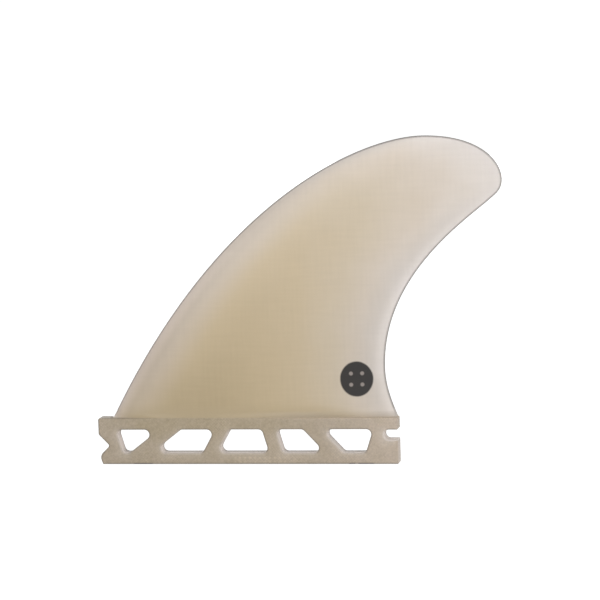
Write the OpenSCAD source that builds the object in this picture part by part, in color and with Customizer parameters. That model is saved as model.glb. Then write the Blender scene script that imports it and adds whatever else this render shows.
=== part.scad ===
// Side fin for a surfboard: a raked, foiled blade on a pierced tab, cut from one solid laminate.
// The tab drops into a slot box in the board and is held there by a screw at its nose.
// Leading edge toward -X, tip toward +Z, foiled outer face toward -Y, flat inner face toward +Y.
// The origin is the middle of the tab's foot, halfway through its thickness.

/* [Tab] */
// Length of the tab, nose to tail
tab_l = 120.4; // [116:0.1:130]
// Thickness of the tab, which is the thickness of the laminate
tab_t = 6.4; // [5:0.1:8]
// Depth of the tab, foot to shoulder
tab_d = 18.2; // [16.5:0.1:21]
// Radius on the tail's lower corner
heel_r = 0.8; // [0.3:0.1:2]

/* [Nose] */
// Depth of the notch that the screw bears in
notch_in = 4.4; // [3.4:0.1:5.4]
// Height of the notch's inner end above the foot
notch_z = 7.8; // [7.4:0.1:8.6]
// Angle of the screw ramp above the notch, from the horizontal
ramp_angle = 43; // [38:0.5:50]
// Angle of the notch's lower side, from the horizontal
sill_angle = 43; // [36:0.5:46]
// Radius at the notch's inner end
notch_r = 1; // [0.4:0.1:1.2]
// How far the lip below the notch stands back from the nose
lip_back = 0.8; // [0:0.1:1.5]
// How far the lip tapers back toward the foot
lip_taper = 0.75; // [0.2:0.05:1.5]
// Radius on the nose's top corner
nose_r = 1.1; // [0.4:0.1:2]
// Radius on the corner above the ramp
ramp_r = 0.9; // [0.3:0.1:1.2]
// Radius on the lip below the notch
lip_r = 3; // [0.5:0.1:3]
// Radius on the lip's foot
foot_r = 0.4; // [0.2:0.1:0.6]

/* [Tail slot] */
// Height of the open slot that the box's cross pin enters
slot_h = 4; // [3:0.1:4.6]
// Depth of the slot, mouth to round end
slot_in = 5.5; // [4:0.1:7]
// Height of the slot's middle above the foot
slot_z = 11.6; // [10.8:0.05:12.4]
// Radius on the two corners of the slot's mouth
mouth_r = 0.8; // [0.3:0.1:1.2]

/* [Windows] */
// Height of the rail below the windows
foot_rail = 4.4; // [3:0.1:6]
// Height of the rail above the windows
top_rail = 4.3; // [3:0.05:6]
// Radius in the corners of the windows
window_r = 2; // [0.8:0.1:2.2]
// Thickness of each slanted web between two windows, nose to tail
web_t = [5.5, 4.85, 5.2, 5.2]; // [4:0.05:6.5]
// Place of each web at half the height of the windows, as a share of the row from end to end
web_share = [0.1446, 0.3895, 0.615, 0.8167]; // [0.12:0.0005:0.85]
// Slant of each web from the vertical, aft positive
web_lean = [52.5, 29.5, -16, -43]; // [-55:0.5:55]
// Thickness of the post between the nose and the first window
front_post = 8.4; // [7.5:0.1:9]
// Slant of that post's rear side
front_post_lean = -16; // [-20:0.5:0]
// Thickness of the post between the last window and the tail
rear_post = 11.35; // [10.5:0.05:13]
// Slant of that post's front side
rear_post_lean = 18.5; // [0:0.5:22]

/* [Blade outline] */
// Length of the blade where it leaves the tab
base_l = 114.7; // [100:0.1:118]
// Height of the blade above the tab
blade_h = 109.9; // [80:0.1:130]
// Step from the blade's trailing edge to the tab's tail
tail_step = 0.5; // [0.3:0.05:3]
// How far the crown, the highest point, lies aft of the root's trailing edge
crown_aft = 12.6; // [5:0.1:25]
// Angle of the leading edge above the tab, at the root
rake_angle = 62.3; // [56:0.1:68]
// Length of the leading edge's straight run, as a share of the blade's height
rake_run = 0.89; // [0.7:0.01:0.95]
// Length of the flat run before the crown, as a share of the leading edge's reach
crown_run = 0.19; // [0.1:0.01:0.3]
// How far the tip's shoulder lies aft of the root's trailing edge
shoulder_aft = 41.6; // [36:0.2:50]
// How far the tip's shoulder lies below the crown
shoulder_drop = 22; // [18:0.2:28]
// Angle at which the edge runs forward and down past the shoulder, from the horizontal
shoulder_angle = 51.5; // [42:0.5:58]
// How full the tip is above and behind its shoulder, as a share of the shoulder's distance
tip_full = 0.94; // [0.7:0.005:0.96]
// Height of the hollow of the trailing edge above the tab
hollow_h = 19.1; // [10:0.1:28]
// How far the hollow lies forward of the root's trailing edge
hollow_in = 4.7; // [2:0.1:7]

/* [Foil] */
// Thickness of the leading edge
lead_t = 0.7; // [0.4:0.05:1.2]
// Thickness of the trailing edge
trail_t = 0.9; // [0.5:0.05:1.4]
// Greatest thickness of the section at the crown, before the tip is feathered off
tip_t = 2.4; // [1.6:0.1:3.5]
// Radius of the cove where the foiled face meets the tab
cove_r = 2.4; // [1:0.1:4]

/* [Hidden] */
$fn = 64;
nose_x = -tab_l / 2;
tail_x = tab_l / 2;
root_te = tail_x - tail_step;
root_le = root_te - base_l;
crown_x = root_te + crown_aft;
crown_z = tab_d + blade_h;
window_z = (foot_rail + tab_d - top_rail) / 2;

// Cubic curve through p[0] and p[3], pulled toward p[1] and p[2]
function cubic(p, t) =
    pow(1 - t, 3) * p[0] + 3 * t * pow(1 - t, 2) * p[1]
    + 3 * t * t * (1 - t) * p[2] + pow(t, 3) * p[3];

// Point on a cubic at a height, for a curve whose height only rises or only falls
function height_share(p, z, lo = 0, hi = 1, turns = 34) =
    turns == 0
    ? (lo + hi) / 2
    : let (mid = (lo + hi) / 2, above = cubic(p, mid)[1] > z, rising = p[3][1] > p[0][1])
      above == rising
      ? height_share(p, z, lo, mid, turns - 1)
      : height_share(p, z, mid, hi, turns - 1);
function x_at(p, z) = cubic(p, height_share(p, z))[0];

// Leading edge, from the root up to the crown
lead_run = rake_run * blade_h;
lead_curve = [
    [root_le, tab_d],
    [root_le + lead_run * cos(rake_angle), tab_d + lead_run * sin(rake_angle)],
    [crown_x - crown_run * (crown_x - root_le), crown_z],
    [crown_x, crown_z]
];

// Trailing edge: round the tip, down into the hollow, and out again to the root
shoulder = [root_te + shoulder_aft, crown_z - shoulder_drop];
hollow = [root_te - hollow_in, tab_d + hollow_h];
shoulder_way = [cos(shoulder_angle), sin(shoulder_angle)];
tip_curve = [
    [crown_x, crown_z],
    [crown_x + tip_full * (shoulder[0] - crown_x), crown_z],
    shoulder + 0.36 * shoulder_drop * shoulder_way,
    shoulder
];
fall = shoulder[1] - hollow[1];
hollow_curve = [
    shoulder,
    shoulder - 0.13 * fall * shoulder_way,
    hollow + [0, 0.585 * fall],
    hollow
];
flare_curve = [
    hollow,
    hollow - [0, 0.42 * hollow_h],
    [root_te - 0.3 * hollow_in, tab_d + 0.17 * hollow_h],
    [root_te, tab_d]
];
function lead_x(z) = x_at(lead_curve, z);
function trail_x(z) =
    z > shoulder[1] ? x_at(tip_curve, z) : z > hollow[1] ? x_at(hollow_curve, z) : x_at(flare_curve, z);

// Thickness of a classic low-drag section along its chord, scaled to 1 at its thickest
function foil_share(s) =
    10 * (0.2969 * sqrt(s) - 0.126 * s - 0.3516 * s * s + 0.2843 * pow(s, 3) - 0.1015 * pow(s, 4));

// Greatest thickness at a height: an even taper, feathered off round the tip
function crest_t(z) =
    let (h = (z - tab_d) / blade_h, edge = (lead_t + trail_t) / 2)
    edge + (tab_t + h * (tip_t - tab_t) - edge) * sqrt(max(0, 1 - pow(h, 9)));

// Thickness at a height and a share of the chord, with the cove at the root
function blade_t(z, s) =
    let (
        edge = lead_t + s * (trail_t - lead_t),
        bare = edge + (crest_t(z) - edge) * foil_share(s),
        rise = min(1, (z - tab_d) / cove_r)
    )
    bare + (tab_t - bare) * (1 - sqrt(1 - pow(1 - rise, 2)));

// Heights of the blade's sections: close together in the cove and at the crown
cove_rows = 6;
blade_rows = 62;
last_row = 0.9999;
section_z = concat(
    [for (i = [0:cove_rows - 1]) tab_d + cove_r * (1 - cos(90 * i / cove_rows))],
    [for (j = [0:blade_rows])
        tab_d + cove_r + (last_row * blade_h - cove_r) * sin(90 * j / blade_rows)]
);

// One section: round the leading edge, across the flat face, and back over the foiled face
foil_steps = 44;
corner_steps = 2;
flat_y = tab_t / 2;
function section(z) =
    let (
        x0 = lead_x(z),
        x1 = trail_x(z),
        r0 = min(lead_t / 2, (x1 - x0) / 4),
        r1 = min(trail_t / 2, (x1 - x0) / 4)
    )
    concat(
        [for (k = [corner_steps:-1:0]) let (a = 90 * k / corner_steps)
            [x0 + r0 * (1 - sin(a)), flat_y - r0 * (1 - cos(a)), z]],
        [for (k = [0:corner_steps]) let (a = 90 * k / corner_steps)
            [x1 - r1 * (1 - sin(a)), flat_y - r1 * (1 - cos(a)), z]],
        [for (k = [foil_steps:-1:0]) let (s = (1 - cos(180 * k / foil_steps)) / 2)
            [x0 + (x1 - x0) * s, flat_y - blade_t(z, s), z]]
    );

// Solid through a stack of sections that have equally many points
module loft(sections) {
    n = len(sections[0]);
    last = (len(sections) - 1) * n;
    points = [for (ring = sections) each ring];
    sides = [for (j = [0:n:last - n], i = [0:n - 1])
        let (a = j + i, b = j + (i + 1) % n)
        each [[a, b, b + n], [a, b + n, a + n]]];
    bottom = [for (i = [1:n - 2]) [0, i + 1, i]];
    top = [for (i = [1:n - 2]) [last, last + i, last + i + 1]];
    polyhedron(points, concat(sides, bottom, top), convexity = 4);
}

module blade() {
    loft([for (z = section_z) section(z)]);
}

// Outline with true arcs in its corners, from [x, z, radius] given anticlockwise.
// Each arc stands proud of its straight sides by a hair, so that it crosses them cleanly.
arc_proud = 0.0005;
function unit(v) = v / norm(v);
function cross_z(a, b) = a[0] * b[1] - a[1] * b[0];
function spot(corners, i) = let (c = corners[(i + len(corners)) % len(corners)]) [c[0], c[1]];
function half_angle(corners, i) =
    acos(unit(spot(corners, i - 1) - spot(corners, i)) * unit(spot(corners, i + 1) - spot(corners, i))) / 2;
function reach(corners, i) =
    let (k = (i + len(corners)) % len(corners)) corners[k][2] / tan(half_angle(corners, k));
function side_share(corners, i) =
    norm(spot(corners, i + 1) - spot(corners, i)) / (reach(corners, i) + reach(corners, i + 1));
function fitted_r(corners, i) =
    corners[i][2] * min(1, 0.98 * side_share(corners, i - 1), 0.98 * side_share(corners, i));
module rounded_outline(corners) {
    joints = [for (i = [0:len(corners) - 1])
        let (
            p = spot(corners, i),
            back = unit(spot(corners, i - 1) - p),
            ahead = unit(spot(corners, i + 1) - p),
            half = half_angle(corners, i),
            r = fitted_r(corners, i)
        )
        [p + back * r / tan(half), p + ahead * r / tan(half),
            p + unit(back + ahead) * r / sin(half), r, cross_z(ahead, back) > 0]];
    difference() {
        union() {
            polygon([for (j = joints) each [j[0], j[1]]]);
            for (j = joints) if (j[4]) translate(j[2]) circle(j[3] + arc_proud);
        }
        for (j = joints) if (!j[4]) translate(j[2]) circle(j[3] + arc_proud);
    }
}

// Outline of the tab, with the notch in its nose, before the slot and the windows are cut
module tab_outline() {
    inner_x = nose_x + notch_in;
    lip_x = nose_x + lip_back;
    lip_z = notch_z - (inner_x - lip_x) * tan(sill_angle);
    rounded_outline([
        [lip_x + lip_taper, 0, foot_r],
        [tail_x, 0, heel_r],
        [tail_x, tab_d, tail_step],
        [nose_x, tab_d, nose_r],
        [nose_x, notch_z + notch_in * tan(ramp_angle), ramp_r],
        [inner_x, notch_z, notch_r],
        [lip_x, lip_z, lip_r],
        [lip_x, 0.55 * lip_z, lip_r]
    ]);
}

// Slot in the tail for the box's cross pin, round at its end and eased at its mouth
module tail_slot() {
    end_x = tail_x - slot_in + slot_h / 2;
    translate([end_x, slot_z]) circle(slot_h / 2);
    translate([end_x, slot_z - slot_h / 2]) square([slot_in, slot_h]);
    for (side = [-1, 1]) translate([tail_x - mouth_r, slot_z + side * (slot_h / 2 + mouth_r / 2)])
        difference() {
            translate([0, -mouth_r / 2]) square(mouth_r);
            translate([0, side * mouth_r / 2]) circle(mouth_r);
        }
}

// Windows between slanted webs. A side is its place at half height and its slant.
webs = len(web_share);
row_start = nose_x + front_post;
row_end = tail_x - rear_post;
function web_x(i) = row_start + web_share[i] * (row_end - row_start);
function web_side(i, way) = [web_x(i) + way * web_t[i] / 2 / cos(web_lean[i]), web_lean[i]];
function front_side(i) = i == 0 ? [row_start, front_post_lean] : web_side(i - 1, 1);
function rear_side(i) = i == webs ? [row_end, rear_post_lean] : web_side(i, -1);
function side_x(side, z) = side[0] + tan(side[1]) * (z - window_z);
module window(front, rear) {
    low = foot_rail;
    high = tab_d - top_rail;
    rounded_outline([
        [side_x(front, low), low, window_r],
        [side_x(rear, low), low, window_r],
        [side_x(rear, high), high, window_r],
        [side_x(front, high), high, window_r]
    ]);
}

module tab() {
    rotate([90, 0, 0]) linear_extrude(tab_t, center = true) difference() {
        tab_outline();
        tail_slot();
        for (i = [0:webs]) window(front_side(i), rear_side(i));
    }
}

// The whole fin is one solid
module fin() {
    color([0.78, 0.71, 0.6]) {
        tab();
        blade();
    }
}

fin();
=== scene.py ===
import math

import bmesh
import bpy
import numpy as np
from mathutils import Matrix, Vector
from mathutils.geometry import delaunay_2d_cdt


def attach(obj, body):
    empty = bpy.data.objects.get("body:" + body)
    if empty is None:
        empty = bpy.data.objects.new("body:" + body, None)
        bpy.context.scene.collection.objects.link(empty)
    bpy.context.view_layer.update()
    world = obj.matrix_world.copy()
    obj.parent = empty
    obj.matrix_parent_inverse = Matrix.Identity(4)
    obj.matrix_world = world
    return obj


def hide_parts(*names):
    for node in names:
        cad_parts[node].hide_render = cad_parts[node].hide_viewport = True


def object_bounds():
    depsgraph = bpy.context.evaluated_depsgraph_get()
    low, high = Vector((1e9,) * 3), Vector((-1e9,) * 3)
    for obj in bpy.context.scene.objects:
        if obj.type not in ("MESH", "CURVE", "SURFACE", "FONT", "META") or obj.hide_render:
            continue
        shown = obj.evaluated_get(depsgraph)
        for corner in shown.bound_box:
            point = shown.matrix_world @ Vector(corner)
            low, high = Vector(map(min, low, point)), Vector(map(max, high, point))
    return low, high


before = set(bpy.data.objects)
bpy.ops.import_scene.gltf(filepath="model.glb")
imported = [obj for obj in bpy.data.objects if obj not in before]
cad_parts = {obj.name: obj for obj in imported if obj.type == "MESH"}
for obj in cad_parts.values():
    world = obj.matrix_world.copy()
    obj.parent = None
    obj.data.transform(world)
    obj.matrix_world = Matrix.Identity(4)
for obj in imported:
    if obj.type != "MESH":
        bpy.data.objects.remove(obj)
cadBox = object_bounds()
mm = 0.001
print("frame loaded:", sorted(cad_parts))

# Sizes of the fin in millimetres and degrees. They are the CAD part's own, apart from the notch, the
# tab's corners and ledge, and the webs, which are up to 0.4 mm closer to the real ones here.
# x runs aft from the middle of the tab, z up from its foot, y from the outer face to the inner one.
tab = {
    "length": 120.4, "thickness": 6.4, "depth": 18.2, "heelRadius": 0.4,
    "notchDepth": 4.4, "notchHeight": 7.4, "notchRadius": 0.9,
    "rampAngle": 46, "sillAngle": 44, "rampRadius": 1.1, "noseRadius": 0.7, "ledgeRise": 0.2,
    "lipBack": 0.65, "lipTaper": 0.75, "lipRadius": 3.0, "footRadius": 0.4,
    "slotHeight": 4.0, "slotDepth": 5.5, "slotMiddle": 11.6, "mouthRadius": 0.4,
    "arris": 0.35,
}
windows = {
    "footRail": 4.4, "topRail": 4.4, "radius": 2.0,
    "frontPost": (8.4, -16), "rearPost": (11.35, 18.5),     # thickness and slant
    # each web's place as a share of the row, its slant and its thickness
    "webs": ((0.1446, 52.5, 5.5), (0.3895, 29.5, 5.05), (0.615, -16, 5.3), (0.8167, -43, 5.2)),
}
blade = {
    "base": 114.7, "height": 109.9, "tailStep": 0.5, "crownAft": 12.6,
    "rakeAngle": 62.3, "rakeRun": 0.89, "crownRun": 0.19,
    "shoulderAft": 41.6, "shoulderDrop": 22, "shoulderAngle": 51.5, "tipFull": 0.94,
    "hollowHeight": 19.1, "hollowIn": 4.7,
    # reach of the curves' handles, as shares of the shoulder's drop, the fall and the hollow's sizes
    "shoulderRun": 0.36, "fallRun": 0.13, "fallRise": 0.585,
    "flareDrop": 0.42, "flareIn": 0.3, "flareRise": 0.17,
    "leadEdge": 0.7, "trailEdge": 0.9, "tipThickness": 2.4, "thinningPower": 9, "cove": 2.4,
}

noseX, tailX = -tab["length"] / 2, tab["length"] / 2
halfT = tab["thickness"] / 2
topZ = tab["depth"]
rootTrail = tailX - blade["tailStep"]
rootLead = rootTrail - blade["base"]
crown = np.array([rootTrail + blade["crownAft"], topZ + blade["height"]])


# The blade's outline and thickness

def turn(angle):
    return np.array([math.cos(math.radians(angle)), math.sin(math.radians(angle))])


shoulder = np.array([rootTrail + blade["shoulderAft"], crown[1] - blade["shoulderDrop"]])
hollow = np.array([rootTrail - blade["hollowIn"], topZ + blade["hollowHeight"]])
shoulderWay = turn(blade["shoulderAngle"])
fall = shoulder[1] - hollow[1]
leadCurve = [
    np.array([rootLead, topZ]),
    np.array([rootLead, topZ]) + blade["rakeRun"] * blade["height"] * turn(blade["rakeAngle"]),
    crown - [blade["crownRun"] * (crown[0] - rootLead), 0],
    crown,
]
tipCurve = [
    crown,
    crown + [blade["tipFull"] * (shoulder[0] - crown[0]), 0],
    shoulder + blade["shoulderRun"] * blade["shoulderDrop"] * shoulderWay,
    shoulder,
]
hollowCurve = [
    shoulder,
    shoulder - blade["fallRun"] * fall * shoulderWay,
    hollow + [0, blade["fallRise"] * fall],
    hollow,
]
flareCurve = [
    hollow,
    hollow - [0, blade["flareDrop"] * blade["hollowHeight"]],
    np.array([rootTrail - blade["flareIn"] * blade["hollowIn"],
              topZ + blade["flareRise"] * blade["hollowHeight"]]),
    np.array([rootTrail, topZ]),
]


def cubic(p, t):
    t = np.asarray(t, float)[..., None]
    return ((1 - t) ** 3 * p[0] + 3 * t * (1 - t) ** 2 * p[1]
            + 3 * t * t * (1 - t) * p[2] + t ** 3 * p[3])


halvings = 34


def shareAt(p, z):
    # where along a curve a height is reached, by halving
    z = np.asarray(z, float)
    low, high = np.zeros_like(z), np.ones_like(z)
    rising = p[3][1] > p[0][1]
    for _ in range(halvings):
        middle = (low + high) / 2
        past = (cubic(p, middle)[..., 1] > z) == rising
        low, high = np.where(past, low, middle), np.where(past, middle, high)
    return (low + high) / 2


def xAt(p, z):
    return cubic(p, shareAt(p, z))[..., 0]


def leadX(z):
    return xAt(leadCurve, z)


def trailX(z):
    z = np.asarray(z, float)
    return np.where(z > shoulder[1], xAt(tipCurve, z),
                    np.where(z > hollow[1], xAt(hollowCurve, z), xAt(flareCurve, z)))


def foilShare(s):
    # the usual thickness curve of a foil along its chord, 1 where it is fullest
    return 10 * (0.2969 * np.sqrt(s) - 0.126 * s - 0.3516 * s ** 2 + 0.2843 * s ** 3 - 0.1015 * s ** 4)


def bareThickness(x, z):
    # the foil alone, without the cove at the root
    z = np.minimum(z, crown[1] - 0.01)
    front, rear = leadX(z), trailX(z)
    s = np.clip((x - front) / np.maximum(rear - front, 0.01), 0, 1)
    h = (z - topZ) / blade["height"]
    mean = (blade["leadEdge"] + blade["trailEdge"]) / 2
    crest = mean + (tab["thickness"] + h * (blade["tipThickness"] - tab["thickness"]) - mean) \
        * np.sqrt(np.maximum(0, 1 - h ** blade["thinningPower"]))
    edge = blade["leadEdge"] + s * (blade["trailEdge"] - blade["leadEdge"])
    return edge + (crest - edge) * foilShare(s)


def thicknessAt(x, z):
    rise = np.clip((z - topZ) / blade["cove"], 0, 1)
    bare = bareThickness(x, z)
    return bare + (tab["thickness"] - bare) * (1 - np.sqrt(1 - (1 - rise) ** 2))


# Each vertex carries marks for the material: the laminate's thickness, the gaps to the blade's two
# edges, and how far it lies on a grey rim or a sawn side.
# The rim mark also carries painted shade, and the cut mark a painted highlight, on the tab's edges.
farOff = 99.0
noMarks = {"thickness": tab["thickness"], "leadGap": farOff, "trailGap": farOff, "rim": 0.0, "cut": 0.0}


# The skin holds every vertex and face
class Skin:
    def __init__(self):
        self.places, self.faces = [], []
        self.marks = {name: [] for name in noMarks}

    def row(self, places, marks=None):
        # adds vertices, and returns their numbers
        first = len(self.places)
        places = np.asarray(places, float).reshape(-1, 3)
        self.places.extend(places.tolist())
        for name, value in {**noMarks, **(marks or {})}.items():
            self.marks[name].extend(np.broadcast_to(value, len(places)).tolist())
        return list(range(first, first + len(places)))

    def strip(self, one, other, closed=False):
        # faces between two rows that hold equally many vertices
        count = len(one)
        for i in range(count if closed else count - 1):
            j = (i + 1) % count
            face = [one[i], one[j], other[j], other[i]]
            face = [v for k, v in enumerate(face) if v not in face[:k]]
            if len(face) > 2:
                self.faces.append(face)

    def ladder(self, rows, closed=False):
        for one, other in zip(rows, rows[1:]):
            self.strip(one, other, closed)

    def fill(self, loops, spacing, height, marks=None):
        # a triangulated patch inside the first loop and outside the others, with an even net of points
        flat = [np.array([[self.places[v][0], self.places[v][2]] for v in loop]) for loop in loops]
        low, high = flat[0].min(0), flat[0].max(0)
        rows = np.arange(low[1] + spacing / 2, high[1], spacing * 0.866)
        net = np.array([[x, z] for k, z in enumerate(rows)
                        for x in np.arange(low[0] + spacing * (0.25 + 0.5 * (k % 2)), high[0], spacing)])
        keep = inside(net, flat[0])
        for hole in flat[1:]:
            keep &= ~inside(net, hole)
        for loop in flat:
            keep &= gapTo(net, loop) > 0.6 * spacing
        net = net[keep]
        numbers = [v for loop in loops for v in loop]
        if len(net):
            numbers += self.row(np.column_stack([net[:, 0], height(net), net[:, 1]]),
                                marks and marks(net))
        points = np.concatenate([*flat, net]) if len(net) else np.concatenate(flat)
        edges, start = [], 0
        for loop in loops:
            edges += [(start + i, start + (i + 1) % len(loop)) for i in range(len(loop))]
            start += len(loop)
        made, _, triangles, sources, _, _ = delaunay_2d_cdt(
            [Vector(p) for p in points], edges, [], 1, 1e-6)
        centres = np.array([[sum(made[v][k] for v in t) / 3 for k in (0, 1)] for t in triangles])
        keep = inside(centres, flat[0])
        for hole in flat[1:]:
            keep &= ~inside(centres, hole)
        for t, kept in zip(triangles, keep):
            if kept:
                self.faces.append([numbers[sources[v][0]] for v in t])


def inside(points, loop):
    # which points lie inside a closed loop, by counting crossings
    x, z = points[:, :1], points[:, 1:]
    a, b = loop, np.roll(loop, -1, 0)
    rises = (a[:, 1] > z) != (b[:, 1] > z)
    slope = (b[:, 0] - a[:, 0]) / np.where(b[:, 1] == a[:, 1], 1e-12, b[:, 1] - a[:, 1])
    return ((rises & (x < a[:, 0] + (z - a[:, 1]) * slope)).sum(1) % 2) == 1


def gapTo(points, loop):
    # distance from each point to the nearest side of a loop
    a, b = loop, np.roll(loop, -1, 0)
    along = b - a
    best = np.full(len(points), 1e9)
    for start, way in zip(a, along):
        share = np.clip(((points - start) @ way) / max(way @ way, 1e-12), 0, 1)
        best = np.minimum(best, np.linalg.norm(points - start - share[:, None] * way, axis=1))
    return best


# How outlines with round corners are divided
arcs = {
    "step": 0.4, "turn": 12, "fewest": 4,       # a corner's longest and widest facet, and fewest facets
    "sideStep": 2.0,                            # along a straight side
    "roomShare": 0.9, "freeRoom": 9.0,          # room inside a corner as a share of its radius, or else
    "sideShare": 0.98,                          # of a side that its two corners may take
}


def roundedLoop(corners):
    # outline with round corners from (x, z, radius) given anticlockwise, with the way into the material
    # and the room that a row inside it has before it crosses itself
    spots = np.array([c[:2] for c in corners], float)
    radii = np.array([c[2] for c in corners], float)
    ahead = np.roll(spots, -1, 0) - spots
    sides = np.linalg.norm(ahead, axis=1)
    ahead = ahead / sides[:, None]
    back = -np.roll(ahead, 1, 0)
    half = np.arccos((ahead * back).sum(1)) / 2
    reach = radii / np.tan(half)
    fit = sides / (reach + np.roll(reach, -1))
    radii = radii * np.minimum(1, arcs["sideShare"] * np.minimum(fit, np.roll(fit, 1)))
    reach = radii / np.tan(half)
    way = ahead + back
    middle = spots + way / np.linalg.norm(way, axis=1)[:, None] * (radii / np.sin(half))[:, None]
    convex = ahead[:, 0] * back[:, 1] - ahead[:, 1] * back[:, 0] > 0
    places, normals, room = [], [], []
    for i in range(len(corners)):
        begin, end = spots[i] + back[i] * reach[i], spots[i] + ahead[i] * reach[i]
        sign = 1 if convex[i] else -1
        swing = math.pi - 2 * half[i]
        facets = max(arcs["fewest"], math.ceil(swing * radii[i] / arcs["step"]),
                     math.ceil(swing / math.radians(arcs["turn"])))
        first = math.atan2(*(begin - middle[i])[::-1])
        for k in range(facets + 1):
            angle = first + sign * swing * k / facets
            arm = np.array([math.cos(angle), math.sin(angle)])
            places.append(middle[i] + radii[i] * arm)
            normals.append(-sign * arm)
            room.append(arcs["roomShare"] * radii[i] if convex[i] else arcs["freeRoom"])
        after = (i + 1) % len(corners)
        run = spots[after] + back[after] * reach[after] - end
        parts = math.ceil(np.linalg.norm(run) / arcs["sideStep"])
        for k in range(1, parts):
            places.append(end + run * k / parts)
            normals.append(np.array([-ahead[i][1], ahead[i][0]]))
            room.append(arcs["freeRoom"])
    return np.array(places), np.array(normals), np.array(room)


# The fin's own skin

finish = {
    "roundSteps": 5,        # facets across a rounded edge
    "bladeRound": 0.3,      # depth of the rounding along the blade's edge
    "bands": (0.42, 0.6, 0.85, 1.2, 1.7, 2.4, 3.2),    # rows that follow the blade's edge further in
    "coveRows": 9,          # rows up the cove
    "coreColumns": 64,      # columns of the cove between the two edges
    "netSpacing": 1.7,      # on the blade's outer face
    "tabNet": (2.6, 2.2),   # spacing on the tab's outer face and on the inner face
    "edgeStep": 1.0,        # along the blade's outline
    "squareAbove": 9,       # height above the cove from which rows run square to the edge
    "edgeAbove": 10,        # height over which the trailing edge reaches its thickness
    "tipTurn": 24,          # points at the crown over which one edge's thickness turns into the other's
    "rimWidth": 0.8,        # grey line along the blade's edge, and its width on the tab's outer face
    "coveRim": (0.3, 0.7),  # its strength at the foot and the top of the cove
    "faceLine": 0.4,
    "ledgePoints": 5,       # along the ledge between the nose and the blade
}
steps = finish["roundSteps"]
theta = np.radians(90 * np.arange(steps + 1) / steps)
skin = Skin()
arris = tab["arris"]
backY, frontY = halfT, -halfT


def tabLoop():
    # the tab's outline from the blade's leading root round the nose and the foot to the trailing root
    t = tab
    innerX, lipX = noseX + t["notchDepth"], noseX + t["lipBack"]
    lipZ = t["notchHeight"] - (innerX - lipX) * math.tan(math.radians(t["sillAngle"]))
    rampZ = t["notchHeight"] + t["notchDepth"] * math.tan(math.radians(t["rampAngle"]))
    low, high = t["slotMiddle"] - t["slotHeight"] / 2, t["slotMiddle"] + t["slotHeight"] / 2
    places, normals, room = roundedLoop([
        (noseX, topZ + t["ledgeRise"], t["noseRadius"]), (noseX, rampZ, t["rampRadius"]),
        (innerX, t["notchHeight"], t["notchRadius"]),
        (lipX, lipZ, t["lipRadius"]), (lipX, 0.55 * lipZ, t["lipRadius"]),
        (lipX + t["lipTaper"], 0, t["footRadius"]), (tailX, 0, t["heelRadius"]),
        (tailX, low, t["mouthRadius"]), (tailX - t["slotDepth"], low, t["slotHeight"] / 2),
        (tailX - t["slotDepth"], high, t["slotHeight"] / 2), (tailX, high, t["mouthRadius"]),
        (tailX, topZ, blade["tailStep"]),
    ])
    # the last side runs along the top, where the blade stands: it is cut off after the tail's corner
    end = max(i for i in range(len(places)) if places[i][0] > rootTrail - 0.01) + 1
    points = finish["ledgePoints"]
    ledge = np.linspace(rootLead, noseX + t["noseRadius"], points + 1)[:-1]
    ledgeZ = topZ + t["ledgeRise"] * (np.arange(points) > 0)
    places = np.concatenate([np.column_stack([ledge, ledgeZ]), places[:end]])
    normals = np.concatenate([np.tile([0.0, -1.0], (points, 1)), normals[:end]])
    return places, normals, np.concatenate([np.full(points, arcs["freeRoom"]), room[:end]])


def alongCurve(p, first, last, step):
    # points and tangents along part of a curve, about a step apart
    fine = np.linspace(first, last, 400)
    lengths = np.concatenate([[0], np.cumsum(np.linalg.norm(np.diff(cubic(p, fine), axis=0), axis=1))])
    count = max(2, round(lengths[-1] / step))
    t = np.interp(np.linspace(0, lengths[-1], count + 1), lengths, fine)
    places = cubic(p, t)
    small = 1e-4 * (1 if last > first else -1)
    tangents = cubic(p, np.clip(t + small, 0, 1)) - cubic(p, np.clip(t - small, 0, 1))
    return places, tangents / np.linalg.norm(tangents, axis=1)[:, None]


def leftOf(ways):
    return np.column_stack([-ways[:, 1], ways[:, 0]])


coveTop = topZ + blade["cove"]
coveAngles = np.radians(90 * np.arange(finish["coveRows"] + 1) / finish["coveRows"])

# Outline above the cove, anticlockwise: up the trailing edge, round the tip, down the leading edge
step = finish["edgeStep"]
pieces = [
    alongCurve(flareCurve, float(shareAt(flareCurve, coveTop)), 0, step),
    alongCurve(hollowCurve, 1, 0, step), alongCurve(tipCurve, 1, 0, step),
    alongCurve(leadCurve, 1, float(shareAt(leadCurve, coveTop)), step),
]
edgePlaces = np.concatenate([p[0][(0 if k == 0 else 1):] for k, p in enumerate(pieces)])
edgeInward = leftOf(np.concatenate([p[1][(0 if k == 0 else 1):] for k, p in enumerate(pieces)]))
crownIndex = int(np.argmax(edgePlaces[:, 1]))


def eased(share):
    share = np.clip(share, 0, 1)
    return share * share * (3 - 2 * share)


def sideways(places, inward):
    # near the root the rows run in level, higher up square to the edge; the gap to the edge stays true
    level = np.column_stack([np.sign(inward[:, 0]), np.zeros(len(inward))])
    share = eased((places[:, 1] - topZ - blade["cove"]) / finish["squareAbove"])[:, None]
    way = level * (1 - share) + inward * share
    way /= np.linalg.norm(way, axis=1)[:, None]
    return way / (way * inward).sum(1)[:, None]


def rimAt(gap):
    # how strongly the grey line along the blade's edge shows at a gap from it
    return np.clip(1 - gap / finish["rimWidth"], 0, 1)


def edgeHalf(places, isTrail):
    # half the thickness of the blade's edge, which grows a little from the leading to the trailing one
    lead, trail = blade["leadEdge"] / 2, blade["trailEdge"] / 2
    rising = eased((places[:, 1] - topZ) / finish["edgeAbove"])
    return np.where(isTrail, lead + (trail - lead) * rising, lead)


order = np.arange(len(edgePlaces))
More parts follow.
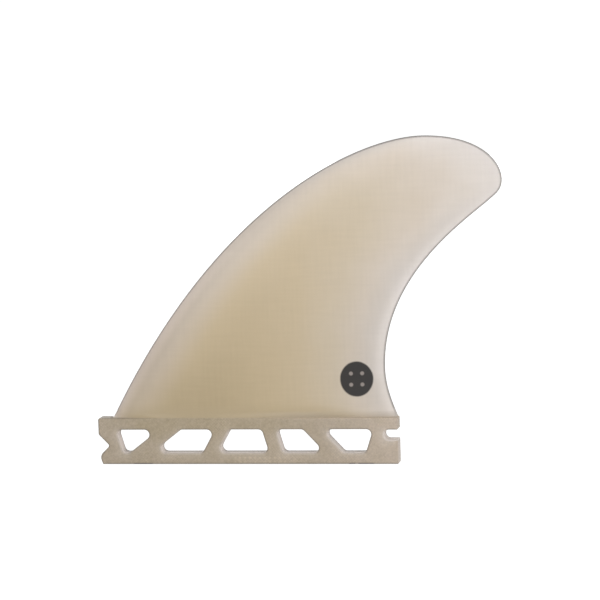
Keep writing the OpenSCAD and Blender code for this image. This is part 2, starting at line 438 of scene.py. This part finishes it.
# 1 along the trailing edge, 0 along the leading one
roundTip = eased((crownIndex - order) / finish["tipTurn"] + 0.5)
edgeMid = blade["leadEdge"] / 2 + roundTip * (edgeHalf(edgePlaces, True) - blade["leadEdge"] / 2)
edgeWay = sideways(edgePlaces, edgeInward)

rounding = finish["bladeRound"] * (1 - np.cos(theta))
gaps = np.concatenate([rounding, finish["bands"]])
fullness = np.concatenate([np.sin(theta), np.ones(len(finish["bands"]))])
# level run for each millimetre of gap, at the two ends of the root
reachX = 1 / abs(edgeInward[[-1, 0], 0])


def outerFaceY(x, z, gap, mid, thick=None):
    # the outer face, with the edge rounded over
    full = np.sin(np.arccos(np.clip(1 - gap / finish["bladeRound"], 0, 1)))
    thick = thicknessAt(x, z) if thick is None else thick
    return backY - mid - (thick - mid) * full


def foilMarks(p):
    # marks of points on the blade, given as x and z
    high = np.clip(p[:, 1], topZ, crown[1] - 0.01)
    onBlade = p[:, 1] > topZ
    return {"thickness": np.where(onBlade, bareThickness(p[:, 0], high), tab["thickness"]),
            "leadGap": np.where(onBlade, np.maximum(p[:, 0] - leadX(high), 0), noMarks["leadGap"]),
            "trailGap": np.where(onBlade, np.maximum(trailX(high) - p[:, 0], 0), noMarks["trailGap"])}


# Rows of the cove, from the tab's edge up. Each column starts where the tab's arris ends.
count = finish["coreColumns"]
inner = gaps[-1]


def rootColumns(z):
    front, rear = float(leadX(z)), float(trailX(z))
    a, b = front + gaps * reachX[0], rear - gaps[::-1] * reachX[1]
    core = np.linspace(a[-1], b[0], count + 2)[1:-1]
    return np.concatenate([a, core, b])


def firstAngle(depth):
    # how far round the cove the arris reaches, so that it takes the same length on each side of the corner
    low, high = np.zeros_like(depth), np.full_like(depth, math.pi / 2)
    for _ in range(halvings):
        middle = (low + high) / 2
        far = depth * np.sin(middle) + blade["cove"] * (1 - np.cos(middle)) > arris
        low, high = np.where(far, low, middle), np.where(far, middle, high)
    return (low + high) / 2


rootX = rootColumns(topZ)
rootBare = bareThickness(rootX, np.full(len(rootX), topZ + 1e-6))
startAngle = firstAngle(tab["thickness"] - rootBare)
ringCount = len(rounding) - 1
startAngle[:ringCount] = startAngle[ringCount]
startAngle[len(rootX) - ringCount:] = startAngle[len(rootX) - ringCount - 1]
levelGap = np.concatenate([gaps, np.full(count, inner + 1), gaps[::-1]])
isTrail = np.arange(len(rootX)) >= len(rootX) // 2

coveRows = []
for k in range(finish["coveRows"] + 1):
    angle = startAngle + (math.pi / 2 - startAngle) * k / finish["coveRows"]
    z = topZ + blade["cove"] * (1 - np.cos(angle))
    if k == 0:
        z[:ringCount] = topZ
        z[len(z) - ringCount:] = topZ
    x = np.array([rootColumns(float(height))[i] for i, height in enumerate(z)])
    bare = bareThickness(x, z)
    thick = bare + (tab["thickness"] - bare) * (1 - np.sin(angle))
    mid = edgeHalf(np.column_stack([x, z]), isTrail)
    y = outerFaceY(x, z, levelGap, mid, thick)
    y = np.where(levelGap > inner, backY - thick, y)
    foot, top = finish["coveRim"]
    rim = (foot + (top - foot) * eased((z - topZ) / blade["cove"])) * rimAt(levelGap)
    coveRows.append(skin.row(np.column_stack([x, y, z]),
                             {"thickness": bare, "leadGap": x - leadX(z), "trailGap": trailX(z) - x,
                              "rim": rim}))
skin.ladder(coveRows)
print("cove:", len(coveRows), "rows of", len(rootX))

# Rows that follow the blade's edge above the cove; their two ends are the cove's top row
trailEnd, leadEnd = coveRows[-1][::-1][:len(gaps)], coveRows[-1][:len(gaps)]
bandRows = [trailEnd]
for k in range(1, len(edgePlaces) - 1):
    spots = edgePlaces[k] + gaps[:, None] * edgeWay[k]
    y = outerFaceY(spots[:, 0], spots[:, 1], gaps, edgeMid[k])
    marks = foilMarks(spots)
    marks["rim"] = rimAt(gaps)
    bandRows.append(skin.row(np.column_stack([spots[:, 0], y, spots[:, 1]]), marks))
bandRows.append(leadEnd)
skin.ladder(bandRows)
core = coveRows[-1][len(gaps):-len(gaps)]
outer = [row[-1] for row in bandRows]
skin.fill([core + outer], finish["netSpacing"],
          lambda p: backY - thicknessAt(p[:, 0], p[:, 1]), foilMarks)
print("blade's outer face:", len(skin.faces), "faces")

# The tab's edge: a flat wall between two rounded arrises
wearAndPaintedLight = {
    "highlightWay": (0.83, 0.55),        # painted highlight: an arris is painted pale where its side faces this way
    "highlightRim": 0.85, "frontRim": 0.45,      # how much grey the painted highlight takes off, and the grey of the arris
    "faceHighlight": 0.3, "windowHighlight": 0.4, "slotHighlight": 0.75,    # how far the painted highlight runs over the arris
    "upShade": (0, 0.25, 0.8),      # painted shade on the windows' sides that face up, deepest at the inner face
    "sideGrey": 0.35, "tailGrey": 0.05, "tailLength": 8,      # grey on the tab's outer sides, less near the tail
    "sawnSides": 0.15, "sawnTail": 0.5, "sawnOpening": 1.0,     # how pale and sawn a side looks
    "slotMargin": (1, 0.4), "tailBand": 0.9,
}
tabPlaces, tabInward, tabRoom = tabLoop()
wallDepths = [frontY + 2 * arris, 0, backY - 2 * arris]


def highlightShare(inward):
    # painted highlight: 1 on sides that face aft or up, 0 on sides that face forward or down
    return eased(0.5 - 0.75 * (inward @ np.array(wearAndPaintedLight["highlightWay"])))


def rings(places, inward, side, cut, highlightSpread=0.0, room=arcs["freeRoom"]):
    # rows across the arris of one face, from the face out to the sawn side; the outer face has one more
    # on the outer face, arrises that face aft or up carry a painted highlight in the sawn tone
    made = []
    pale = highlightShare(inward) * (side < 0)
    if side < 0:
        reach = np.minimum(arris + finish["faceLine"], room * np.ones(len(places)))
        spots = places + inward * reach[:, None]
        made.append(skin.row(np.column_stack([spots[:, 0], np.full(len(spots), frontY), spots[:, 1]]),
                             {"cut": cut * highlightSpread * wearAndPaintedLight["faceHighlight"] * pale}))
    for angle in theta[::-1]:
        spots = places + inward * arris * (1 - math.cos(angle))
        depth = np.full(len(spots), side * (halfT - arris * (1 - math.sin(angle))))
        out = 1 - math.sin(angle)
        rim = wearAndPaintedLight["frontRim"] + (1 - wearAndPaintedLight["frontRim"]) * out if side < 0 else out
        made.append(skin.row(np.column_stack([spots[:, 0], depth, spots[:, 1]]),
                             {"rim": (1 - wearAndPaintedLight["highlightRim"] * pale) * rim,
                              "cut": cut * np.maximum(out, highlightSpread * pale)}))
    return made


def wall(places, inward, cut, greyed):
    # rows of a sawn side; a window's has no grey of its own, but painted shade where it faces up
    up = np.clip(-inward[:, 1], 0, 1) ** 2 * (greyed <= 0)
    return [skin.row(np.column_stack([places[:, 0], np.full(len(places), depth), places[:, 1]]),
                     {"cut": cut, "rim": np.maximum(greyed, up * share)})
            for depth, share in zip(wallDepths, wearAndPaintedLight["upShade"])]


# The tab's outer sides are sanded to the tone of its faces, but the slot keeps its pale sawn sides
beyond, above = wearAndPaintedLight["slotMargin"]
inSlot = (tabPlaces[:, 0] > tailX - tab["slotDepth"] - beyond) & \
    (abs(tabPlaces[:, 1] - tab["slotMiddle"]) < tab["slotHeight"] / 2 + above)
underSlot = (tabPlaces[:, 0] > tailX - wearAndPaintedLight["tailBand"]) & (tabPlaces[:, 1] < tab["slotMiddle"])
tabCut = np.where(inSlot, wearAndPaintedLight["sawnOpening"], np.where(underSlot, wearAndPaintedLight["sawnTail"], wearAndPaintedLight["sawnSides"]))
tabGrey = np.where(tabPlaces[:, 0] < tailX - wearAndPaintedLight["tailLength"], wearAndPaintedLight["sideGrey"], wearAndPaintedLight["tailGrey"])
frontRings = rings(tabPlaces, tabInward, -1, tabCut, wearAndPaintedLight["slotHighlight"] * inSlot, tabRoom)
wallRings = [frontRings[-1]] + wall(tabPlaces, tabInward, tabCut, tabGrey)
skin.ladder(frontRings)
skin.ladder(wallRings)

# Arris between the tab's outer face and the cove, one column for each column of the root
seam = range(ringCount, len(rootX) - ringCount)
seamColumns = [[ring[0] for ring in frontRings]]
for i in seam:
    top = np.array(skin.places[coveRows[0][i]])
    corner, foot = np.array([top[0], frontY, topZ]), np.array([top[0], frontY, topZ - arris])
    shares = np.arange(steps)[:, None] / steps
    bend = (1 - shares) ** 2 * foot + 2 * shares * (1 - shares) * corner + shares ** 2 * top
    bend = np.concatenate([[foot - [0, 0, finish["faceLine"]]], bend])
    seamColumns.append(skin.row(bend) + [coveRows[0][i]])
seamColumns.append([ring[-1] for ring in frontRings])
skin.ladder(seamColumns)

# The inner face's outline: rounded edge of the blade and arris of the tab in one ring
leadCove = [row[0] for row in coveRows]
trailCove = [row[-1] for row in coveRows]
inland = tabPlaces[1:-1]
backSide = skin.row(np.column_stack([inland[:, 0], np.full(len(inland), backY - arris), inland[:, 1]]),
                    {"rim": 1, "cut": tabCut[1:-1]})
backOuter = [leadCove[0]] + backSide + [trailCove[0]]
skin.strip(wallRings[-1], backOuter)
for end, column in ((0, [row[0] for row in wallRings]), (-1, [row[-1] for row in wallRings])):
    ring = coveRows[0][:ringCount + 1] if end == 0 else coveRows[0][::-1][:ringCount + 1]
    skin.faces.append(list(ring) + column)

loopNumbers = backOuter + trailCove[1:] + [row[0] for row in bandRows[1:-1]] + leadCove[::-1][:-1]
loopPlaces = np.array([[skin.places[v][0], skin.places[v][2]] for v in loopNumbers])
ahead = np.roll(loopPlaces, -1, 0) - loopPlaces
ahead /= np.linalg.norm(ahead, axis=1)[:, None]
before = np.roll(ahead, 1, 0)
loopInward = leftOf(ahead) + leftOf(before)
loopInward /= (loopInward * leftOf(ahead)).sum(1)[:, None]
loopInward[1:len(tabPlaces) - 1] = tabInward[1:-1]
loopMid = np.array([skin.places[v][1] for v in loopNumbers])
loopMarks = {name: np.array([skin.marks[name][v] for v in loopNumbers]) for name in noMarks}
backRings = [loopNumbers]
for angle in theta[1:]:
    spots = loopPlaces + loopInward * arris * (1 - math.cos(angle))
    depth = loopMid + (backY - loopMid) * math.sin(angle)
    marks = {name: values * (1 - math.sin(angle) if name in ("rim", "cut") else 1)
             for name, values in loopMarks.items()}
    backRings.append(skin.row(np.column_stack([spots[:, 0], depth, spots[:, 1]]), marks))
skin.ladder(backRings, closed=True)

# Windows: a wall with an arris on each face
windowZ = (windows["footRail"] + topZ - windows["topRail"]) / 2


def windowSides():
    # front and rear side of each window, as its place at half height and its slant
    start, end = noseX + windows["frontPost"][0], tailX - windows["rearPost"][0]
    fronts, rears = [(start, windows["frontPost"][1])], []
    for share, lean, thickness in windows["webs"]:
        x, half = start + share * (end - start), thickness / 2 / math.cos(math.radians(lean))
        rears.append((x - half, lean))
        fronts.append((x + half, lean))
    return zip(fronts, rears + [(end, windows["rearPost"][1])])


def windowCorner(side, z):
    return side[0] + math.tan(math.radians(side[1])) * (z - windowZ), z, windows["radius"]


frontHoles, backHoles = [], []
low, high = windows["footRail"], topZ - windows["topRail"]
for front, rear in windowSides():
    places, normals, _ = roundedLoop([windowCorner(front, low), windowCorner(rear, low),
                                      windowCorner(rear, high), windowCorner(front, high)])
    sawn = wearAndPaintedLight["sawnOpening"]
    rows = rings(places, -normals, -1, sawn, wearAndPaintedLight["windowHighlight"]) + wall(places, -normals, sawn, 0)
    rows += rings(places, -normals, 1, sawn)[::-1]
    skin.ladder(rows, closed=True)
    frontHoles.append(rows[0])
    backHoles.append(rows[-1])

tabOutline = [column[0] for column in seamColumns] + frontRings[0][::-1][1:-1]
skin.fill([tabOutline] + frontHoles, finish["tabNet"][0], lambda p: np.full(len(p), frontY))
skin.fill([backRings[-1]] + backHoles, finish["tabNet"][1], lambda p: np.full(len(p), backY), foilMarks)
print("tab and windows:", len(frontHoles), "openings,", len(skin.places), "vertices in all")

mesh = bpy.data.meshes.new("finLaminate")
low, high = (np.array(corner) for corner in cadBox)
mesh.from_pydata(np.clip(np.array(skin.places) * mm, low, high).tolist(), [], skin.faces)
for name, values in skin.marks.items():
    mesh.attributes.new(name, "FLOAT", "POINT").data.foreach_set("value", np.array(values, np.float32))
mesh.validate()
work = bmesh.new()
work.from_mesh(mesh)
bmesh.ops.recalc_face_normals(work, faces=work.faces)
work.to_mesh(mesh)
work.free()
mesh.shade_smooth()
fin = bpy.data.objects.new("fin_laminate", mesh)
bpy.context.scene.collection.objects.link(fin)
even = fin.modifiers.new("evenNormals", "WEIGHTED_NORMAL")
even.weight = 80
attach(fin, "root")
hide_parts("fin")
print("mesh:", len(mesh.vertices), "vertices,", len(mesh.polygons), "faces")


# Shader maths: a Signal is one output of a node, and sums on it add Math nodes
class Signal:
    def __init__(self, desk, socket):
        self.desk, self.socket = desk, socket

    def math(self, operation, *values):
        return self.desk.node("ShaderNodeMath", {"operation": operation}, dict(enumerate([self, *values])))

    def __add__(self, other):
        return self.math("ADD", other)

    def __sub__(self, other):
        return self.math("SUBTRACT", other)

    def __rsub__(self, other):
        return self.desk.node("ShaderNodeMath", {"operation": "SUBTRACT"}, {0: other, 1: self})

    def __mul__(self, other):
        return self.math("MULTIPLY", other)

    def __truediv__(self, other):
        return self.math("DIVIDE", other)

    __radd__, __rmul__ = __add__, __mul__


class Desk:
    def __init__(self, name, tree=None):
        if tree is None:
            self.material = bpy.data.materials.new(name)
            self.material.use_nodes = True
            tree = self.material.node_tree
        self.tree = tree
        self.tree.nodes.clear()

    def node(self, kind, settings=None, values=None, out=0):
        made = self.tree.nodes.new(kind)
        for name, value in (settings or {}).items():
            if name == "stops":
                ramp = made.color_ramp
                while len(ramp.elements) < len(value):
                    ramp.elements.new(0.5)
                for element, (place, colour) in zip(ramp.elements, value):
                    element.position, element.color = place, colour
            else:
                setattr(made, name, value)
        for key, value in (values or {}).items():
            if isinstance(value, Signal):
                self.tree.links.new(value.socket, made.inputs[key])
            else:
                made.inputs[key].default_value = value
        return Signal(self, made.outputs[out]) if made.outputs else None

    def mix(self, share, first, second, blend="MIX"):
        return self.node("ShaderNodeMix", {"data_type": "RGBA", "blend_type": blend},
                         {0: share, 6: first, 7: second}, out=2)

    def window(self, value, low, high):
        # 0 at low and 1 at high, eased between them; high may be the smaller one
        return self.node("ShaderNodeMapRange", {"interpolation_type": "SMOOTHSTEP"},
                         {"Value": value, "From Min": low, "From Max": high})

    def noise(self, place, scale, detail=2.0, roughness=0.5):
        return self.node("ShaderNodeTexNoise", None, {"Vector": place, "Scale": scale, "Detail": detail,
                                                      "Roughness": roughness})

    def tone(self, red, green, blue):
        return self.node("ShaderNodeCombineColor", None, {0: red, 1: green, 2: blue})


def paint(red, green, blue):
    # a colour as it is seen, 0 to 255, turned into Blender's linear values
    seen = [c / 255 for c in (red, green, blue)]
    return (*[c / 12.92 if c <= 0.04045 else ((c + 0.055) / 1.055) ** 2.4 for c in seen], 1)


# Glass laminate in clear resin: pale where it is thin and tan where it is thick.
# The tab is bare laminate: duller, with the weave of the glass cloth and its cut plies showing.
laminate = {
    "byThickness": ((0.6, (219, 212, 210)), (1.3, (216, 208, 201)), (2.2, (208, 196, 182)),
                    (3.1, (201, 187, 165)), (4.1, (197, 180, 151)), (5.1, (192, 174, 142)),
                    (5.9, (184, 166, 133)), (6.4, (180, 162, 129))),
    "tabColour": (176, 163, 144), "rimColour": (104, 100, 95), "cutColour": (226, 217, 210),
    # the root's colour is the thick laminate's tan, darkened further as painted shade in the cove
    "olive": (169, 155, 130), "rootTanAndShade": (177, 160, 130),
    "veilLow": (192, 178, 162), "veilHigh": (204, 192, 179),    # cloudier resin along the leading edge
    "mottles": ((60, 3, 0.5), (190, 4, 0.6), (1400, 2, 0.6)),   # broad, cloudy and grainy noise
    "tint": 0.94, "threads": 0.065, "threadScales": (0.8, 0.07), "thicknessDrift": 0.7,
    "tabMottles": (0.2, 0.5, 0.2), "cloudBlue": 0.12,           # clouds, grain and knots of the weave
    "tailLight": 0.0008, "tailBlue": 0.0006, "endBlue": 0.000012,
    "plyPitch": 0.32, "weavePitch": 1.15, "weaveDrift": 3.0,
    # the sawn sides darken toward the inner face as painted shade
    "rimShare": 0.9, "plyDepth": 0.03, "backShade": 0.4,
    # dark dashes along the foot are painted shade where it meets the floor
    "footShadeSpans": ((-46, -38.5), (40.5, 43), (44.3, 50.5)), "footShadeColour": (84, 76, 70), "footShadeShare": 0.8,
    "stitchPitch": 2.0, "stitchRows": ((2.5, 0.45), (0.95, 0.3)), "stitchColour": (208, 194, 170),
    "roughness": 0.36, "coat": 0.12, "gloss": 0.3, "tabRoughness": 0.5,
    "rubbedRoughness": 0.85, "rubbedGloss": 0.15,
    "reliefs": (0.35, 0.5, 2), "bump": 0.35, "bumpDepth": 0.1 * mm,
}
# Where and how much each effect shows. A row is an amount and its bounds, each of them a measure and
# the values where it begins and where it is full; the rows of an effect add up.
effects = {
    "light": (
        # painted light: lighter toward the top, standing in for light from above
        (0.095, ("z", 20, 112)),
        (0.09, ("trailGap", 4.5, 1), ("z", 95, 65)),
        (-0.055, ("trailGap", 15, 6), ("trailGap", 2.5, 6), ("z", 112, 95)),
        (-0.06, ("leadGap", 7, 2), ("leadGap", 0.8, 2.4), ("z", 70, 108)),
        (0.045, ("leadGap", 34, 16), ("leadGap", 5, 11), ("z", 24, 42)),
        (-0.035, ("trailGap", 28, 9), ("z", 115, 60), ("z", 21, 32)),
        # painted light: the cove's foot is lighter, against the shade it gets from facing up
        (0.22, ("z", 20.0, 18.4), ("x", 0, 45)),
        # painted light: lighter within a few millimetres of the leading edge, which slopes away from the
        # key lamp
        (0.24, ("leadGap", 7, 0.8), ("z", 115, 50)),
    ),
    # painted light: the band along the leading edge is a little bluer too
    "blueLight": ((0.06, ("leadGap", 7, 0.8), ("z", 115, 50)),),
    "veilTone": ((1, ("z", 25, 95)),),
    "veil": (
        (0.45, ("leadGap", 23, 6), ("z", 122, 88)),
        (0.35, ("leadGap", 23, 6), ("z", 122, 88), ("z", 20, 40)),
    ),
    # the root's darker tan: partly the thick laminate of the cove, partly painted shade there
    "rootTanAndShade": ((0.9, ("rootHeight", 25, 18)), (-0.62, ("rootHeight", 25, 18), ("leadGap", 12, 3))),
    "rootBand": (
        (0.8, ("bandHeight", 21.4, 18.7), ("x", -4, 26)),
        (-0.6, ("bandHeight", 21.4, 18.7), ("x", -4, 26), ("x", 26, 44)),
    ),
    # painted light: the tab's top edge is lighter, against the shade on its upward arris; then paler toward
    # the tail
    "tabLight": ((0.25, ("z", 17.7, 18.2), ("x", -20, 40)), (0.13, ("x", 35, 62))),
    "olive": ((0.6, ("z", 6, 16), ("x", 45, -10), ("x", -56, -40)),),
    "stitches": ((1, ("x", -9, -3), ("x", 22, 12)),),
}
printMark = {"x": 43.9, "z": 33.1, "radius": 6.95, "narrow": 1.07, "ink": (8, 6, 8),
             "dots": (140, 131, 126), "dotGap": 2.2, "dotRadius": 0.75, "soft": 0.35, "dotSoft": 0.3,
             "strength": 0.97, "side": (2.4, 2.0)}
desk = Desk("glassLaminate")
coords = desk.node("ShaderNodeTexCoord", out=3)
split = desk.node("ShaderNodeSeparateXYZ", None, {0: coords})
x, y, z = (Signal(desk, socket) * (1 / mm) for socket in split.socket.node.outputs)
thick, leadGap, trailGap, rim, cut = (desk.node("ShaderNodeAttribute", {"attribute_name": name}, out=2)
                                      for name in noMarks)
broad, cloudy, grainy = (desk.noise(coords, *mottle) - 0.5 for mottle in laminate["mottles"])
# the last two are heights with some unevenness; the root's tan and painted shade reach less high at the
# tail
measures = {"x": x, "z": z, "leadGap": leadGap, "trailGap": trailGap,
            "rootHeight": z + broad * 2 + desk.window(x, 25, 50) * 4, "bandHeight": z + cloudy * 0.6}


def area(bounds):
    return math.prod(desk.window(measures[name], begin, full) for name, begin, full in bounds)


def effect(name):
    return sum(area(bounds) * amount for amount, *bounds in effects[name])


# Threads of the cloth, faint inside the blade: long streaks up and across it
fine, long = laminate["threadScales"]
upright = desk.node("ShaderNodeCombineXYZ", None, {0: x * fine, 2: z * long})
level = desk.node("ShaderNodeCombineXYZ", None, {0: x * long, 2: z * fine})
threads = desk.noise(upright, 1, 1) + desk.noise(level, 1, 1) - 1

# Blade: colour by thickness, a cloudy veil along the leading edge, lighter and darker areas, some of
# them painted light, and a darker tone where it meets the tab: the tab's own, and painted shade
thinnest, thickest = laminate["byThickness"][0][0], laminate["byThickness"][-1][0]
depth = (thick + broad * laminate["thicknessDrift"] - thinnest) / (thickest - thinnest)
stops = [((t - thinnest) / (thickest - thinnest), paint(*c)) for t, c in laminate["byThickness"]]
body = desk.node("ShaderNodeValToRGB", {"stops": stops}, {0: depth})
veil = desk.mix(effect("veilTone"), paint(*laminate["veilLow"]), paint(*laminate["veilHigh"]))
body = desk.mix(effect("veil"), body, veil)
# the tint holds painted light toward the top, at the cove's foot and along the leading edge
tint = effect("light") + threads * laminate["threads"] + laminate["tint"]
body = desk.mix(1.0, body, desk.tone(tint, tint, tint + effect("blueLight")), "MULTIPLY")
# toward the tab the blade darkens: thicker laminate, and painted shade in the cove
body = desk.mix(effect("rootTanAndShade"), body, paint(*laminate["rootTanAndShade"]))
body = desk.mix(effect("rootBand"), body, paint(*laminate["tabColour"]))

# Tab: woven glass cloth seen through the resin, paler toward the tail, with painted light along its top
# edge
onTab = desk.window(z, tab["depth"] + 0.6, tab["depth"] + 0.05)
turns = 2 * math.pi / laminate["weavePitch"]
drift = cloudy * laminate["weaveDrift"]
warp = (x * turns + drift).math("SINE")
weft = (z * turns + drift).math("SINE")
knots = desk.window(warp * weft, 0.25, 1.0)
patchy = desk.window(desk.noise(coords, 85, 2), 0.42, 0.7)
cloudShare, grainShare, knotShare = laminate["tabMottles"]
tabShade = effect("tabLight") + x * laminate["tailLight"] + cloudy * cloudShare + grainy * grainShare \
    + knots * patchy * knotShare + 1
tabBlue = tabShade + cloudy * laminate["cloudBlue"] + x * laminate["tailBlue"] + x * x * laminate["endBlue"]
tabBase = desk.mix(effect("olive"), paint(*laminate["tabColour"]), paint(*laminate["olive"]))
woven = desk.mix(1.0, tabBase, desk.tone(tabShade, tabShade, tabBlue), "MULTIPLY")

# two short rows of pale stitches along the foot
stitches = desk.window((x * (math.pi / laminate["stitchPitch"])).math("SINE").math("ABSOLUTE"), 0.55, 0.95)
for height, strength in laminate["stitchRows"]:
    off = (z - height + cloudy * 0.4).math("ABSOLUTE")
    sewn = stitches * desk.window(off, 0.5, 0.1) * effect("stitches") * strength
    woven = desk.mix(sewn, woven, paint(*laminate["stitchColour"]))

# sawn sides: plies of cloth, and painted shade toward the inner face
plies = (y * (2 * math.pi / laminate["plyPitch"]) + cloudy * 2).math("SINE") * laminate["plyDepth"] + 1 \
    + grainy * 0.1
sawn = desk.mix(1.0, paint(*laminate["cutColour"]), desk.tone(plies, plies, plies), "MULTIPLY")
sawn = desk.mix(desk.window(y, 1.4, 2.8) * laminate["backShade"], sawn, paint(*laminate["rimColour"]))
colour = desk.mix(onTab, body, woven)
colour = desk.mix(cut, colour, sawn)

# Round print under the resin of the outer face: dark ink with four pale dots
across, high = x - printMark["x"], z - printMark["z"]
reach = (across * across * printMark["narrow"] ** 2 + high * high).math("SQRT")
ink = desk.window(reach + cloudy * 0.3, printMark["radius"] + printMark["soft"],
                  printMark["radius"] - printMark["soft"])
ink = ink * desk.window(y, *printMark["side"])
dotAcross = across.math("ABSOLUTE") - printMark["dotGap"]
dotHigh = high.math("ABSOLUTE") - printMark["dotGap"]
dotReach = (dotAcross * dotAcross + dotHigh * dotHigh).math("SQRT")
dots = desk.window(dotReach, printMark["dotRadius"] + printMark["dotSoft"],
                   printMark["dotRadius"] - printMark["dotSoft"])
inkColour = desk.mix(dots, paint(*printMark["ink"]), paint(*printMark["dots"]))
colour = desk.mix(ink * printMark["strength"], colour, inkColour)
# grey rims along the edges; the rim mark also brings the painted shade on the windows' upward sides
colour = desk.mix(rim * laminate["rimShare"], colour, paint(*laminate["rimColour"]))

# Painted shade in dark dashes along the foot's edge, where it meets the floor
atFoot = desk.window(z, 0.6, 0.3) * desk.window(y, -2.4, -2.9)
for start, end in laminate["footShadeSpans"]:
    footShade = atFoot * desk.window(x, start - 0.4, start + 0.4) * desk.window(x, end + 0.4, end - 0.4)
    colour = desk.mix(footShade * laminate["footShadeShare"], colour, paint(*laminate["footShadeColour"]))

rougher = laminate["tabRoughness"] - laminate["roughness"]
roughness = laminate["roughness"] + onTab * rougher + cloudy * 0.12
coat = (1 - onTab) * laminate["coat"]
knotRelief, grainRelief, plyRelief = laminate["reliefs"]
relief = (knots * knotRelief + grainy * grainRelief) * onTab + plies * cut * plyRelief
bump = desk.node("ShaderNodeBump", None,
                 {"Strength": laminate["bump"], "Distance": laminate["bumpDepth"], "Height": relief})
glossy = desk.node("ShaderNodeBsdfPrincipled", None, {
    "Base Color": colour, "Roughness": roughness, "Coat Weight": coat, "Coat Roughness": 0.12,
    "IOR": 1.5, "Specular IOR Level": laminate["gloss"], "Normal": bump})
rough = desk.node("ShaderNodeBsdfPrincipled", None, {
    "Base Color": colour, "Roughness": laminate["rubbedRoughness"],
    "Specular IOR Level": laminate["rubbedGloss"], "Normal": bump})
sanded = onTab.math("MAXIMUM", cut).math("MAXIMUM", rim)
desk.node("ShaderNodeOutputMaterial", None,
          {0: desk.node("ShaderNodeMixShader", None, {0: sanded, 1: glossy, 2: rough})})
mesh.materials.append(desk.material)
print("laminate:", len(desk.tree.nodes), "shader nodes")


def whiteRays(desk):
    # 1 for the camera's own rays and for those that gloss and glass send, which all see a white background
    outputs = desk.node("ShaderNodeLightPath").socket.node.outputs
    camera, gloss, glass = (Signal(desk, outputs[name])
                            for name in ("Is Camera Ray", "Is Glossy Ray", "Is Transmission Ray"))
    return camera.math("MAXIMUM", gloss).math("MAXIMUM", glass)


# Studio: pale floor, soft lights and the camera of the photograph
studio = {"floor": (236, 236, 236), "shadow": 0.3, "floorHalf": 14, "skyStrength": 0.44, "floorGlow": 0.92}
floorMesh = bpy.data.meshes.new("studioFloor")
half = studio["floorHalf"]
floorMesh.from_pydata([(-half, -half, -0.0001), (half, -half, -0.0001), (half, half, -0.0001),
                       (-half, half, -0.0001)], [], [(0, 1, 2, 3)])
floor = bpy.data.objects.new("studioFloor", floorMesh)
bpy.context.scene.collection.objects.link(floor)
ground = Desk("paleFloor")
plain = ground.node("ShaderNodeBsdfDiffuse", None, {0: paint(*studio["floor"])})
shadowPart = ground.node("ShaderNodeBsdfDiffuse", None, {0: (*[studio["shadow"]] * 3, 1)})
whitePart = ground.node("ShaderNodeEmission", None, {0: (1, 1, 1, 1), 1: studio["floorGlow"]})
white = ground.node("ShaderNodeAddShader", None, {0: shadowPart, 1: whitePart})
ground.node("ShaderNodeOutputMaterial", None,
            {0: ground.node("ShaderNodeMixShader", None, {0: whiteRays(ground), 1: plain, 2: white})})
floorMesh.materials.append(ground.material)

world = bpy.data.worlds.new("softRoom")
world.use_nodes = True
bpy.context.scene.world = world
air = Desk("softRoom", world.node_tree)
glow = air.node("ShaderNodeBackground", None, {0: (1, 1, 1, 1), 1: studio["skyStrength"]})
backdrop = air.node("ShaderNodeBackground", None, {0: (1, 1, 1, 1), 1: 1.0})
air.node("ShaderNodeOutputWorld", None,
         {0: air.node("ShaderNodeMixShader", None, {0: whiteRays(air), 1: glow, 2: backdrop})})

lamps = {
    "keyLamp": {"place": (1.1, -1.0, 0.3), "size": 1.0, "power": 12.6},
    "fillLamp": {"place": (-0.4, -1.4, 0.25), "size": 1.2, "power": 5.3},
    "backLamp": {"place": (-0.5, 1.3, 0.4), "size": 1.2, "power": 12},
}
aim = Vector((0.02, 0, 0.065))
for name, lamp in lamps.items():
    data = bpy.data.lights.new(name, "AREA")
    data.shape, data.size, data.energy = "DISK", lamp["size"], lamp["power"]
    light = bpy.data.objects.new(name, data)
    light.location = lamp["place"]
    light.rotation_euler = (aim - light.location).to_track_quat("-Z", "Y").to_euler()
    bpy.context.scene.collection.objects.link(light)

shot = {"azimuth": 10.5, "elevation": 7, "distance": 1.2, "roll": -0.0328,
        "target": (0.022509, 0, 0.064689), "lens": 183.67}
a, e = math.radians(shot["azimuth"]), math.radians(shot["elevation"])
away = Vector((math.sin(a) * math.cos(e), -math.cos(a) * math.cos(e), math.sin(e)))
flatRight = Vector((math.cos(a), math.sin(a), 0))
flatUp = away.cross(flatRight)
right = math.cos(shot["roll"]) * flatRight + math.sin(shot["roll"]) * flatUp
up = math.cos(shot["roll"]) * flatUp - math.sin(shot["roll"]) * flatRight
lens = bpy.data.cameras.new("camera")
lens.sensor_width, lens.lens = 36, shot["lens"]
camera = bpy.data.objects.new("camera", lens)
camera.matrix_world = Matrix.Translation(Vector(shot["target"]) + shot["distance"] * away) \
    @ Matrix((right, up, away)).transposed().to_4x4()
bpy.context.scene.collection.objects.link(camera)
bpy.context.scene.camera = camera
bpy.context.scene.view_settings.view_transform = "Standard"
print("studio ready")
